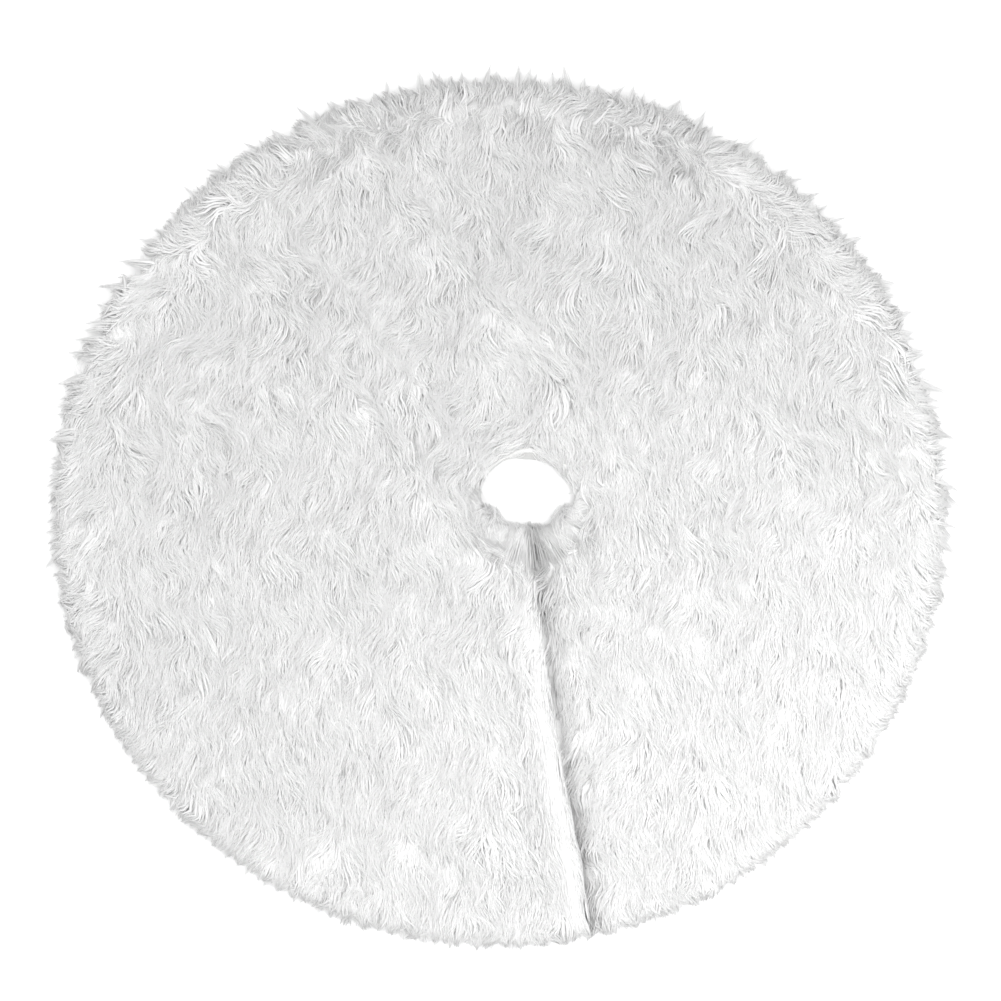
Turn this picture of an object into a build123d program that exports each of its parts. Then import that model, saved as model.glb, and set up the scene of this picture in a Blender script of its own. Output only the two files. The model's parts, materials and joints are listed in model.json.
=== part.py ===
"""Round plush tree skirt with a trunk hole, one radial slit and a hook-and-loop closure.

Origin: centre of the trunk hole, on the plane that the skirt lies on. +Z is up and the slit runs along -Y.
The skirt is two bodies: the round itself, and the flap, which is the slit's left edge up to its fold line.
"""

from build123d import *
import math
import os

# ---- driving dimensions, mm ----
RIM_RADIUS = 450.0           # folded edge of the round, without the fibres that stand past it
RIM_CENTRE = (-28.0, 4.0)    # the hole is a little off the middle of the round
HOLE_RADIUS = 50.0           # inside of the binding round the trunk hole
PILE_TOP = 22.0              # top of the lying pile

# ---- levels above the floor ----
THREAD_LOW = 0.1             # underside of every seam thread on the lining side
TAPE_LOW = 0.4               # underside of the binding's flange, the placket and the label
LINING_LOW = 1.0             # underside of the lining
LINING_TOP = 1.6             # top of the lining, where the fur's own backing starts
LOOP_TOP = 1.8
LOOP_THREAD_TOP = 2.0
HOOK_THREAD_LOW = 2.3
HOOK_LOW = 2.5
FACING_LOW = 3.4             # underside of the flap's facing, above the closed hook-and-loop tapes
FACING_TOP = 4.0

# ---- slit, fold line and closure ----
SLIT_GAP = 2.5               # from the flap's edge at x = 0 to the fixed edge
FOLD_GAP = 0.25              # each body stops this far from the fold line
FOLD_START_ANGLE = -150.0    # where the fold line leaves the hole, degrees from +X
FOLD_END_X = -200.0          # where the fold line reaches the rim
PLACKET_REACH = 30.0         # the underlap's width under the flap
PLACKET_BACK = 16.0          # the part of it sewn under the fixed edge
FACING_DROP = 35.0           # and steps down to the lining here, just past the placket
FACING_FLANGE = 11.0         # width sewn to the lining past that step
FACING_THICK = 0.6
FACING_CLEAR = 0.4           # room round the raised strip
LINING_CLEAR = 0.3           # room round the lining's cut edges
CLOSURES = (("inner", -94.0), ("middle", -240.0), ("outer", -386.0))   # name, y of the middle
CLOSURE_TAPE = (20.0, 52.0)  # width across the slit, length along it
CLOSURE_X = -16.0            # middle of the tapes
THREAD_INSET = 2.2           # stitching line, in from a tape's edge
THREAD_WIDE = 0.7

# ---- edges ----
HEM_LIP = 18.0               # fur turned under at the rim
BINDING_THICK = 1.2
BINDING_HIGH = 6.5
BINDING_FLANGE = 12.0
RIM_ROUND_TOP = 12.0
RIM_ROUND_LOW = 5.0
HOLE_ROUND = 7.0
SLIT_ROUND_TOP = 8.0
SLIT_ROUND_LOW = 6.0
RIM_THREAD_INSET = 4.0       # rim seam, in from the lining's cut edge
FLANGE_THREAD = 3.0          # seam line, in from the free edge of a flange or strip

# ---- label ----
LABEL_SIZE = (36.0, 24.0)    # out from the facing, along it
LABEL_Y = -318.0
LABEL_STEP = 1.5             # its lower leaf is this much shorter than its upper leaf

FAR = 1200.0                 # longer than anything in the part
LOW = -5.0                   # a level below everything

fold_start = (
    HOLE_RADIUS * math.cos(math.radians(FOLD_START_ANGLE)),
    HOLE_RADIUS * math.sin(math.radians(FOLD_START_ANGLE)),
)
fold_end = (
    FOLD_END_X,
    RIM_CENTRE[1] - math.sqrt(RIM_RADIUS**2 - (FOLD_END_X - RIM_CENTRE[0]) ** 2),
)
fold_length = math.dist(fold_start, fold_end)
along = ((fold_end[0] - fold_start[0]) / fold_length, (fold_end[1] - fold_start[1]) / fold_length)
across = (-along[1], along[0])          # from the fold line towards the slit


def layer(low, high, face):
    """A flat shape made solid between two levels."""
    return extrude(Pos(0, 0, low) * face, amount=high - low, dir=(0, 0, 1))


def rim_disc(inset=0.0):
    return Pos(*RIM_CENTRE) * Circle(RIM_RADIUS - inset)


def hole_disc(extra=0.0):
    return Circle(HOLE_RADIUS + extra)


def fold_point(s, t):
    """A point s along the fold line from the hole's edge and t towards the slit."""
    return (fold_start[0] + s * along[0] + t * across[0], fold_start[1] + s * along[1] + t * across[1])


def flap_area():
    """Plan of the flap's sector, unbounded at the rim: right of the fold line and left of x = 0."""
    beside = Polygon(
        fold_point(-HOLE_RADIUS, FOLD_GAP),
        fold_point(FAR, FOLD_GAP),
        fold_point(FAR, FAR),
        fold_point(-HOLE_RADIUS, FAR),
        align=None,
    )
    left = Polygon((0, 0), (0, -FAR), (-FAR, -FAR), (-FAR, 0), align=None)
    return beside & left


def skirt_area():
    """Plan of everything else: the whole plane without the sector from the fold line to the fixed edge."""
    sector = Polygon(
        fold_point(-HOLE_RADIUS, -FOLD_GAP),
        fold_point(FAR, -FOLD_GAP),
        (SLIT_GAP, -FAR),
        (SLIT_GAP, fold_start[1]),
        align=None,
    )
    inside_hole = Circle(HOLE_RADIUS * 0.99)
    return Rectangle(2 * FAR, 2 * FAR) - sector - inside_hole


def strip(x_low, x_high):
    """Plan of a band that runs the slit's whole length."""
    return Polygon((x_low, 0), (x_high, 0), (x_high, -FAR), (x_low, -FAR), align=None)


FLAP = flap_area()
SKIRT = skirt_area()


def edges_at(shape, level, radius):
    """The circular edges of one radius at one level."""
    return [
        e
        for e in shape.edges().filter_by(GeomType.CIRCLE)
        if abs(e.center().Z - level) < 0.01 and abs(e.radius - radius) < 0.01
    ]


def fur_round():
    """The whole round before it is slit: rolled rim, open hole, and a recess below for the lining."""
    body = layer(0, PILE_TOP, rim_disc())
    body = fillet(edges_at(body, PILE_TOP, RIM_RADIUS), RIM_ROUND_TOP)
    body = fillet(edges_at(body, 0, RIM_RADIUS), RIM_ROUND_LOW)
    body -= layer(LOW, PILE_TOP + 1, hole_disc(BINDING_THICK))
    body = fillet(edges_at(body, PILE_TOP, HOLE_RADIUS + BINDING_THICK), HOLE_ROUND)
    return body - layer(LOW, LINING_TOP, rim_disc(HEM_LIP))


def slit_roll():
    """The space that the flap may fill beside the slit: a soft roll, set back below, instead of a square corner."""
    low_middle = FACING_TOP + SLIT_ROUND_LOW
    high_middle = PILE_TOP - SLIT_ROUND_TOP
    with BuildSketch(Plane.XZ) as section:
        with BuildLine():
            Polyline((-FAR, PILE_TOP), (-FAR, LOW), (-SLIT_ROUND_LOW, LOW), (-SLIT_ROUND_LOW, FACING_TOP))
            CenterArc((-SLIT_ROUND_LOW, low_middle), SLIT_ROUND_LOW, -90, 90)
            Line((0, low_middle), (0, high_middle))
            CenterArc((-SLIT_ROUND_TOP, high_middle), SLIT_ROUND_TOP, 0, 90)
            Line((-SLIT_ROUND_TOP, PILE_TOP), (-FAR, PILE_TOP))
        make_face()
    return extrude(section.sketch, amount=FAR)


def raised_area():
    """Plan of the space under the flap's free edge that the underlap and the closed tapes fill."""
    return (strip(-FACING_DROP - FACING_CLEAR, 1) & rim_disc(HEM_LIP)) - hole_disc(BINDING_FLANGE + FACING_CLEAR)


def beside_slit():
    """Plan of what lies under the roll, where the flap is set back so that it can lift past the fixed edge."""
    return strip(-SLIT_ROUND_LOW, 1)


def fur_fabric_skirt():
    return fur_round() & layer(LOW, PILE_TOP + 1, SKIRT)


def fur_fabric_flap():
    """The flap's fur: flat on the floor like the rest, but raised over the underlap beside the slit."""
    body = fur_round() & layer(LOW, PILE_TOP + 1, FLAP)
    return (body & slit_roll()) - layer(LOW, FACING_TOP, raised_area())


def lined_area():
    """Plan of the lining in the whole round, inside the turned rim and outside the hole's binding."""
    return rim_disc(HEM_LIP + LINING_CLEAR) - hole_disc(BINDING_THICK + LINING_CLEAR)


def taped_area():
    """Plan in which the strips along the slit run, from the hole's flange to the turned rim."""
    return rim_disc(HEM_LIP + LINING_CLEAR) - hole_disc(BINDING_FLANGE + 2 * FACING_CLEAR)


def lining_skirt():
    return layer(LINING_LOW, LINING_TOP, lined_area() & SKIRT)


def lining_flap():
    """The flap's lining stops where its facing steps down to it."""
    return layer(LINING_LOW, LINING_TOP, (lined_area() & FLAP) - raised_area() - beside_slit())


def hole_binding(area):
    """Tape rolled round the hole's cut edge: a wall, and a flange under the lining."""
    wall = layer(0, BINDING_HIGH, (hole_disc(BINDING_THICK) - hole_disc()) & area)
    flange_plan = (hole_disc(BINDING_FLANGE) - hole_disc(BINDING_THICK / 2)) & area
    return wall + layer(TAPE_LOW, LINING_LOW, flange_plan)


def hole_binding_skirt():
    return hole_binding(SKIRT)


def hole_binding_flap():
    return hole_binding(FLAP - beside_slit())


def slit_facing_flap():
    """Facing of the flap's free edge: high over the underlap, then down to a flange under the lining."""
    reach = taped_area() & FLAP
    flange_end = -FACING_DROP - FACING_FLANGE
    high = layer(FACING_LOW, FACING_TOP, reach & strip(-FACING_DROP, -SLIT_ROUND_LOW))
    web = layer(TAPE_LOW, FACING_TOP, reach & strip(-FACING_DROP, -FACING_DROP + FACING_THICK))
    flange = layer(TAPE_LOW, LINING_LOW, reach & strip(flange_end, -FACING_DROP + FACING_THICK))
    return high + web + flange


def underlap_placket():
    """The strip under the flap, sewn to the fixed edge, that carries the loop tapes."""
    return layer(TAPE_LOW, LINING_LOW, taped_area() & strip(-PLACKET_REACH, PLACKET_BACK))


def tape(low, high, y):
    """A closure tape with rounded corners."""
    return layer(low, high, Pos(CLOSURE_X, y) * RectangleRounded(*CLOSURE_TAPE, 2.0))


def tape_thread(low, high, y):
    """The stitching line round a closure tape."""
    wide, long = CLOSURE_TAPE
    outer = RectangleRounded(wide - 2 * THREAD_INSET, long - 2 * THREAD_INSET, 1.5)
    inner_size = 2 * (THREAD_INSET + THREAD_WIDE)
    inner = RectangleRounded(wide - inner_size, long - inner_size, 0.8)
    return layer(low, high, Pos(CLOSURE_X, y) * (outer - inner))


def label_leaf(start, end, margin=0.0):
    """Plan of a stretch of the label, measured out from the facing's flange."""
    edge = -FACING_DROP - FACING_FLANGE - LINING_CLEAR
    far = LABEL_Y - LABEL_SIZE[1] + margin
    near = LABEL_Y - margin
    return Polygon((edge - start, near), (edge - end, near), (edge - end, far), (edge - start, far), align=None)


def care_label():
    """A blank woven label folded in two on the flap's lining, beside its facing."""
    middle = (LINING_LOW + TAPE_LOW) / 2
    upper = layer(middle, LINING_LOW, label_leaf(0, LABEL_SIZE[0]))
    return upper + layer(TAPE_LOW, middle, label_leaf(LABEL_STEP, LABEL_SIZE[0]))


def label_thread():
    """One short bar of stitches across the label's sewn end."""
    bar = label_leaf(LABEL_STEP + FLANGE_THREAD, LABEL_STEP + FLANGE_THREAD + THREAD_WIDE, THREAD_INSET)
    return layer(THREAD_LOW, TAPE_LOW, bar)


def rim_ring():
    """Plan of the seam line that holds the lining to the fur's turned edge."""
    inset = HEM_LIP + LINING_CLEAR + RIM_THREAD_INSET
    return rim_disc(inset) - rim_disc(inset + THREAD_WIDE)


def hole_ring():
    """Plan of the seam line through the binding's flange."""
    outer = BINDING_FLANGE - FLANGE_THREAD
    return hole_disc(outer) - hole_disc(outer - THREAD_WIDE)


def rim_thread_skirt():
    placket = strip(-1, PLACKET_BACK + LINING_CLEAR)
    return layer(TAPE_LOW, LINING_LOW, (rim_ring() & SKIRT) - placket)


def rim_thread_flap():
    facing = strip(-FACING_DROP - FACING_FLANGE - LINING_CLEAR, 1)
    return layer(TAPE_LOW, LINING_LOW, (rim_ring() & FLAP) - facing)


def hole_thread_skirt():
    return layer(THREAD_LOW, TAPE_LOW, hole_ring() & SKIRT)


def hole_thread_flap():
    return layer(THREAD_LOW, TAPE_LOW, (hole_ring() & FLAP) - beside_slit())


def facing_thread_flap():
    """The seam through the facing's flange and the flap's lining."""
    line = -FACING_DROP - FACING_FLANGE + FLANGE_THREAD
    return layer(THREAD_LOW, TAPE_LOW, taped_area() & FLAP & strip(line, line + THREAD_WIDE))


def placket_thread_skirt():
    """The seam through the placket and the fixed side's lining."""
    line = PLACKET_BACK - FLANGE_THREAD
    return layer(THREAD_LOW, TAPE_LOW, taped_area() & strip(line - THREAD_WIDE, line))


def main():
    os.makedirs("parts", exist_ok=True)
    nodes = {
        "fur_fabric_skirt": fur_fabric_skirt(),
        "fur_fabric_flap": fur_fabric_flap(),
        "lining_skirt": lining_skirt(),
        "lining_flap": lining_flap(),
        "hole_binding_skirt": hole_binding_skirt(),
        "hole_binding_flap": hole_binding_flap(),
        "slit_facing_flap": slit_facing_flap(),
        "underlap_placket": underlap_placket(),
        "care_label": care_label(),
        "rim_thread_skirt": rim_thread_skirt(),
        "rim_thread_flap": rim_thread_flap(),
        "hole_thread_skirt": hole_thread_skirt(),
        "hole_thread_flap": hole_thread_flap(),
        "facing_thread_flap": facing_thread_flap(),
        "placket_thread_skirt": placket_thread_skirt(),
        "label_thread": label_thread(),
    }
    for name, y in CLOSURES:
        nodes[f"loop_tape_{name}"] = tape(LINING_LOW, LOOP_TOP, y)
        nodes[f"loop_thread_{name}"] = tape_thread(LOOP_TOP, LOOP_THREAD_TOP, y)
        nodes[f"hook_tape_{name}"] = tape(HOOK_LOW, FACING_LOW, y)
        nodes[f"hook_thread_{name}"] = tape_thread(HOOK_THREAD_LOW, HOOK_LOW, y)
    for name, shape in nodes.items():
        export_step(shape, f"parts/{name}.step")
    print("fold line starts at", [round(v, 3) for v in fold_start], "direction", [round(v, 5) for v in along])


main()
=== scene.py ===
import json
import math

import bmesh
import bpy
import numpy as np
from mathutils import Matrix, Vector


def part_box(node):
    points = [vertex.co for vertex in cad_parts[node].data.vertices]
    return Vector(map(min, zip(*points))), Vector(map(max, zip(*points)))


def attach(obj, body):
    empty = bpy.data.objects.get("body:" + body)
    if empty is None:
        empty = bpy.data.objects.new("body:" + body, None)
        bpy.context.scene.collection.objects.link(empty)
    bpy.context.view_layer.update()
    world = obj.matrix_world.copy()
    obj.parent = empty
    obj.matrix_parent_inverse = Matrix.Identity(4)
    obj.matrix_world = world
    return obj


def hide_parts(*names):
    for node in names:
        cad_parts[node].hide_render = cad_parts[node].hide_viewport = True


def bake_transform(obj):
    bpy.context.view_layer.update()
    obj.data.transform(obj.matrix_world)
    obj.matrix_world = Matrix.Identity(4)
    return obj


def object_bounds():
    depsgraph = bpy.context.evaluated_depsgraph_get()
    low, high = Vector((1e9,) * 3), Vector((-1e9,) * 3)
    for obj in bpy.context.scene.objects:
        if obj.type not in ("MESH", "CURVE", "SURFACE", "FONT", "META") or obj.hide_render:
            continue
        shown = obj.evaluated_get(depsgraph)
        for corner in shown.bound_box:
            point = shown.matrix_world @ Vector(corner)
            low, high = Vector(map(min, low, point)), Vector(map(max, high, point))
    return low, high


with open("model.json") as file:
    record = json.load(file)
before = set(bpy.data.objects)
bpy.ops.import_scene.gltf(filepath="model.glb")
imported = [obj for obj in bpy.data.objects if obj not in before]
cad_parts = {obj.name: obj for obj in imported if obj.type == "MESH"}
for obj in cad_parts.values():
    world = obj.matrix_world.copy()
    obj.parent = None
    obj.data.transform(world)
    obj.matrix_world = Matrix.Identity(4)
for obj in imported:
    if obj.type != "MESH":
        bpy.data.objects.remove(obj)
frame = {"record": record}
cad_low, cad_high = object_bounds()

MM = 0.001

# ---- the skirt's plan, read from the frame ----
trunk_mount = next(m for m in frame["record"]["mounts"] if m["name"] == "trunk_hole")
HOLE_R = trunk_mount["dims"]["r_mm"] * MM
RIM_C = np.array([(cad_low[k] + cad_high[k]) / 2 for k in (0, 1)])
RIM_R = (cad_high[0] - cad_low[0]) / 2
PILE_TOP = cad_high[2]
FLAP_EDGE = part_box("fur_fabric_flap")[1].x                  # the flap's free edge, along -Y
FIXED_EDGE = FLAP_EDGE + 2.5 * MM                           # the fixed edge across the slit
LINING_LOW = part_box("lining_skirt")[0].z
LINING_R = (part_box("lining_skirt")[1].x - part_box("lining_skirt")[0].x) / 2
LINING_HOLE_R = 51.5 * MM
LINING_FLAP_EDGE = -46.4 * MM                               # where the flap's lining stops at the facing
STRIP_START_R = 62.8 * MM                                   # clear of the binding's flange
FACING_EDGE = -36 * MM                                      # left side of the facing's high part
FACING_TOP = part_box("slit_facing_flap")[1].z + 0.15 * MM    # the cloth's back where it lies on the facing

# ---- the fold ----
TURN_ANGLE = math.radians(-185) # the two parts of a divided cloth meet on this ray from the hole's centre
SLIT_ANGLE = math.radians(-90)
SKIRT_SPAN = (SLIT_ANGLE, TURN_ANGLE + 2 * math.pi)
FLAP_SPAN = (SLIT_ANGLE, TURN_ANGLE)
HALVES = (("skirt", SKIRT_SPAN, "skirt"), ("flap", FLAP_SPAN, "fold"))  # body, angles, where it goes

# ---- the knitted ground and its hem ----
GROUND_Z = 4.0 * MM             # top of the knitted ground
BED_Z = 11.0 * MM               # top of the dense undercoat
BACK_Z = 1.95 * MM              # the cloth's back on the lining
HEM_LIP = 18 * MM               # cloth turned under at the rim
HOLE_CUT = 51.2 * MM            # the cloth's own hole, behind the binding
RIM_ROUND = 22 * MM             # the undercoat is rounded over this width at the rim
HOLE_ROUND = 12 * MM            # at the hole
LEFT_ROUND = 8 * MM             # and left and right of the slit
RIGHT_ROUND = 30 * MM
ROLL_AT = -12 * MM              # middle of the slit's smooth roll, from the line where its sides meet
ROLL_HIGH = 6.5 * MM

# ---- the fibres and the limits that they keep to ----
TUFT = 15 * MM                  # mean distance between tufts along the rim
TABLE = 512                     # random values round the rim, and along each side of the locks' table
FIBRE_STEPS = 5
FRINGE_STEPS = 6
ROOT_DEPTH = 0.8 * MM           # roots stand this deep in the undercoat
EDGE_CLEAR = 0.8 * MM           # and this far from the cloth's cut edges
FIBRE_TOP = PILE_TOP + 9 * MM
FIBRE_FLOOR = 0.4 * MM
MOST_TRIANGLES = 190_000        # in one piece of the pile

# ---- the camera's view ----
VIEW_AZIMUTH = math.radians(-7.6)
VIEW_ELEVATION = math.radians(76)
VIEW_DISTANCE = 3.4
VIEW_TARGET = Vector((-27.6 * MM, 3.6 * MM, 8 * MM))
VIEW_LENS = 119.0

COMB = np.array([math.sin(VIEW_AZIMUTH), -math.cos(VIEW_AZIMUTH)])  # the way that the pile is brushed


# ---- small helpers ----


def smooth(low, high, x):
    """0 below low, 1 above high and an even S between."""
    t = np.clip((x - low) / (high - low), 0, 1)
    return t * t * (3 - 2 * t)


def bump(x, middle, half):
    """A soft bell, 1 at its middle."""
    return np.exp(-((x - middle) / half) ** 2)


def length(v):
    return np.sqrt((v * v).sum(-1))


def unit(v):
    return v / np.maximum(length(v), 1e-9)[..., None]


def way_at(angle):
    """Plan ways at these angles."""
    return np.stack([np.cos(angle), np.sin(angle)], -1)


def quarter_turn(way):
    return np.stack([-way[..., 1], way[..., 0]], -1)


def waves(seed, wavelength, count=9):
    """A smooth random field with a spread of about 1, as a function of plan points."""
    rng = np.random.default_rng(seed)
    turn = rng.uniform(0, 2 * math.pi, count)
    k = 2 * math.pi / (wavelength * rng.uniform(0.7, 1.4, count))
    phase = rng.uniform(0, 2 * math.pi, count)
    ways = (way_at(turn) * k[:, None]).T
    return lambda p: np.sin(p @ ways + phase).sum(1) * math.sqrt(2 / count)


SWELL = waves(1, 0.17)
TURN_WIDE = waves(2, 0.15)
TURN_LOCK = waves(3, 0.055)
TURN_FINE = waves(4, 0.02)
LIFT = waves(6, 0.05)
LIFT_FINE = waves(7, 0.018)
EDGE_WAVER = waves(8, 0.05)
SLACK = waves(9, 0.06)


def add_object(name, data):
    ob = bpy.data.objects.new(name, data)
    bpy.context.scene.collection.objects.link(ob)
    return ob


# ---- places on the plan ----


def from_rim(p):
    """How far inside the rim a point lies."""
    return RIM_R - length(p - RIM_C)


def from_hole(p):
    """How far outside the trunk hole's wall a point lies."""
    return length(p) - HOLE_R


def slit_line(y):
    """x of the line where the two sides of the pile meet, which drifts across the straight cut."""
    return FLAP_EDGE - 4.0 * MM + 6.5 * MM * smooth(0.22, 0.43, -y)


def slit_side(p):
    """Distance right of the line where the two sides meet, or far from it above the hole."""
    return np.where(p[:, 1] < 0, p[:, 0] - slit_line(p[:, 1]), 1.0)


def on_flap_side(p):
    return (p[:, 1] < 0) & (p[:, 0] < (FLAP_EDGE + FIXED_EDGE) / 2)


def on_facing(p):
    """Whether points left of the flap's edge lie in front of the hole, where the facing runs."""
    return (p[:, 0] < FLAP_EDGE + 0.5 * MM) & (p[:, 1] < -HOLE_CUT * 0.8)


def roll_share(p):
    """How much of the smooth roll the slit's left edge has: none at the hole, all of it further out."""
    return smooth(0.10, 0.27, -p[:, 1]) * (slit_side(p) < 0)


def on_roll(p):
    """How much a point lies on that roll, where the pile is combed straight along the slit."""
    return roll_share(p) * bump(slit_side(p), ROLL_AT, 17 * MM)


def dome(x, width):
    """Height share of a rounded edge: 0 at the edge, 1 from this width inwards, as a quarter of an oval."""
    t = np.clip(x / width, 0, 1)
    return np.sqrt(1 - (1 - t) ** 2)


def bed(p):
    """Height of the dense undercoat that the long fibres lie on: gently wavy, round at every edge."""
    side = slit_side(p)
    rim = dome(from_rim(p), RIM_ROUND)
    hole = dome(from_hole(p) - 1.2 * MM, HOLE_ROUND)
    left = dome(-side + 1.5 * MM, LEFT_ROUND)
    right = dome(side - 2.0 * MM, RIGHT_ROUND)
    slit = np.where(p[:, 1] < 0, np.where(side < 0, left, right), 1.0)
    thick = (BED_Z - GROUND_Z) * (1 + 0.13 * SWELL(p) + 0.06 * LIFT(p))
    roll = ROLL_HIGH * bump(side, ROLL_AT, 10 * MM) * roll_share(p)
    beside_roll = 2.4 * MM * bump(side, -37 * MM, 11 * MM) * roll_share(p)
    slit_top = 5.0 * MM * bump(side, 0.0, 13 * MM) * (1 - smooth(0.10, 0.18, -p[:, 1]))
    low = GROUND_Z * (0.5 + 0.5 * smooth(0, 12 * MM, from_rim(p)))
    lifted = on_facing(p) & (p[:, 0] > FACING_EDGE)
    low = low + (FACING_TOP + 1.2 * MM - low) * lifted * smooth(10 * MM, 18 * MM, from_rim(p))
    high = (thick - beside_roll - slit_top + roll) * rim * hole * slit
    return low + np.maximum(high, 0)


# ---- the pile's fibres ----


def locks(p, spacing, seed):
    """The lock that each root stands in: its middle, and a whole number to look up its random values by."""
    jitter = np.random.default_rng(seed).uniform(0.08, 0.92, (TABLE, TABLE, 2))
    cell = np.floor(p / spacing).astype(int)
    best = np.full(len(p), np.inf)
    own = np.zeros((len(p), 2), int)
    middle = np.zeros((len(p), 2))
    for dx in (-1, 0, 1):
        for dy in (-1, 0, 1):
            other = cell + (dx, dy)
            centre = (other + jitter[other[:, 0] % TABLE, other[:, 1] % TABLE]) * spacing
            away = length(centre - p)
            nearer = away < best
            best = np.where(nearer, away, best)
            own[nearer] = other[nearer]
            middle[nearer] = centre[nearer]
    return middle, (own[:, 0] % TABLE) * TABLE + own[:, 1] % TABLE


def by_lock(number, seed, spread=1.0):
    """One random value, from a bell of this spread, for every fibre of a lock alike."""
    return np.random.default_rng(seed).normal(0, spread, TABLE * TABLE)[number]


def share_by_lock(number, seed):
    return np.random.default_rng(seed).uniform(0, 1, TABLE * TABLE)[number]


def comb(p, own):
    """Plan way of the pile: brushed to the front, outward at the rim, round the hole and along the slit.

    Each lock's own value, a bell of spread 1, mixes the locks of both ways where the pile parts.
    """
    radial = unit(p - RIM_C)
    against = np.maximum(-(radial @ COMB), 0)
    edge = 1 - smooth(12 * MM, 40 * MM, from_rim(p) + 6 * MM * TURN_LOCK(p) + 11 * MM * own)
    d = COMB + radial * (edge * (0.75 + 0.95 * against))[:, None]
    away = unit(p)
    front = away @ COMB
    fold_over = smooth(0.0, 0.6, front)
    near = 1 - smooth((3 + 6 * fold_over) * MM, (18 + 10 * fold_over) * MM, from_hole(p) + 4 * MM * own)
    upward = near * smooth(0.0, 0.45, front)
    inward = smooth(-1.15, -0.5, from_hole(p) / np.maximum(hole_reach(p), 1 * MM))
    round_down = -unit(-COMB + away * front[:, None])
    aside = np.sign(p[:, 0]) * smooth(0.12, 0.6, np.abs(away[:, 0]))
    off_slit = quarter_turn(away) * aside[:, None]
    d = d * (1 - 0.97 * near)[:, None]
    d = d + off_slit * (0.6 * upward)[:, None] - away * (upward * inward)[:, None]
    d = d + round_down * (0.8 * (near - upward))[:, None]
    side = slit_side(p)
    roll = on_roll(p)
    d = d * (1 - 0.85 * roll)[:, None] + np.array([0.05, -1.0]) * roll[:, None]
    right = bump(side, 4 * MM, 13 * MM) * (side > 0) * (1 - 0.6 * near)
    d = d + np.array([-0.08, -0.4]) * right[:, None]
    left = bump(side, 0, 14 * MM) * (side < 0) * (1 - roll_share(p)) * (p[:, 1] < 0) * (1 - near)
    return d + np.array([-0.35, -0.4]) * left[:, None]


def comb_direction(p, own):
    """Plan angle of the pile, with its swirls."""
    d = comb(p, own)
    calm = (1 - 0.85 * on_roll(p)) * (1 - 0.3 * smooth(-0.1, 0.2, -p[:, 1]))
    turn = calm * (0.22 * TURN_WIDE(p) + 0.30 * TURN_LOCK(p) + 0.15 * TURN_FINE(p))
    return np.arctan2(d[:, 1], d[:, 0]) + turn


def parted(p):
    """Whether points lie where the pile parts, so that it is short of cover."""
    return length(comb(p, np.zeros(len(p)))) < 0.6


def scatter(rng, spacing, margin):
    """Plan points over the whole round on a shaken grid, clear of its cut edges by the margin."""
    n = int(2 * RIM_R / spacing) + 2
    grid = np.stack(np.meshgrid(np.arange(n), np.arange(n), indexing="ij"), -1).reshape(-1, 2)
    p = RIM_C - RIM_R + grid * spacing + rng.uniform(-0.48, 0.48, (n * n, 2)) * spacing
    keep = (from_rim(p) > margin) & (from_hole(p) > margin + (HOLE_CUT - HOLE_R))
    in_slit = (p[:, 1] < 0) & (p[:, 0] > FLAP_EDGE - margin * 0.3) & (p[:, 0] < FIXED_EDGE + margin)
    return p[keep & ~in_slit]


def angle_on_rim(p):
    return np.arctan2(p[:, 1] - RIM_C[1], p[:, 0] - RIM_C[0])


def rim_tuft(p):
    """The tuft at the rim that each point belongs to: its angle round the rim, and its number."""
    turn = angle_on_rim(p) * RIM_R / TUFT
    jitter = np.random.default_rng(23).uniform(0.02, 0.98, TABLE)
    best = np.full(len(p), np.inf)
    middle = np.zeros(len(p))
    number = np.zeros(len(p), int)
    for step in (-1, 0, 1):
        cell = np.floor(turn).astype(int) + step
        centre = cell + jitter[cell % TABLE]
        nearer = np.abs(turn - centre) < best
        best = np.where(nearer, np.abs(turn - centre), best)
        middle = np.where(nearer, centre, middle)
        number = np.where(nearer, cell % TABLE, number)
    return middle * TUFT / RIM_R, number


def rim_reach(p, number):
    """How far past the rim each tuft stands: short at the front, with long ones elsewhere."""
    back = smooth(-0.6, 0.3, -(unit(p - RIM_C) @ COMB))
    share = np.random.default_rng(24).uniform(0, 1, TABLE)[number]
    return (8 + 3 * back) * MM + (3 + 5 * back) * MM * share**1.8


def into_tufts(path, gather):
    """Draws what stands past the rim together into pointed tufts, each with a lean of its own.

    The share that each fibre gathers by is given: the long ones make the points, the others stay spread.
    """
    rings = path.shape[1]
    flat = path[:, :, :2].reshape(-1, 2)
    root = np.repeat(path[:, 0, :2], rings, axis=0)
    middle, number = rim_tuft(root)
    past = -from_rim(flat)
    off = (angle_on_rim(flat) - middle + math.pi) % (2 * math.pi) - math.pi
    firm = np.random.default_rng(26).uniform(0.55, 1.0, TABLE)[number]
    squeeze = 0.95 * firm * np.repeat(gather, rings) * smooth(-3 * MM, 0.8 * rim_reach(root, number), past)
    lean = np.random.default_rng(25).normal(0, 0.42, TABLE)[number]
    angle = middle + off * (1 - squeeze) + lean * np.maximum(past, 0) / RIM_R
    moved = RIM_C + (RIM_R + past)[:, None] * way_at(angle)
    flat = np.where((past > -3 * MM)[:, None], moved, flat)
    path[:, :, :2] = flat.reshape(-1, rings, 2)
    return path


def hole_reach(p):
    """How far over the trunk hole the pile leans: most at the front, and hardly at all at the back."""
    away = unit(p)
    front = np.maximum(away @ COMB, 0)
    left = np.maximum(-away[:, 0], 0)
    right = smooth(0.0, 0.5, away[:, 0]) * smooth(0.35, 0.0, np.abs(away[:, 1] + 0.25))
    return (1.0 + 23.5 * front**1.2 + 2.0 * left + 5 * right) * MM


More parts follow.
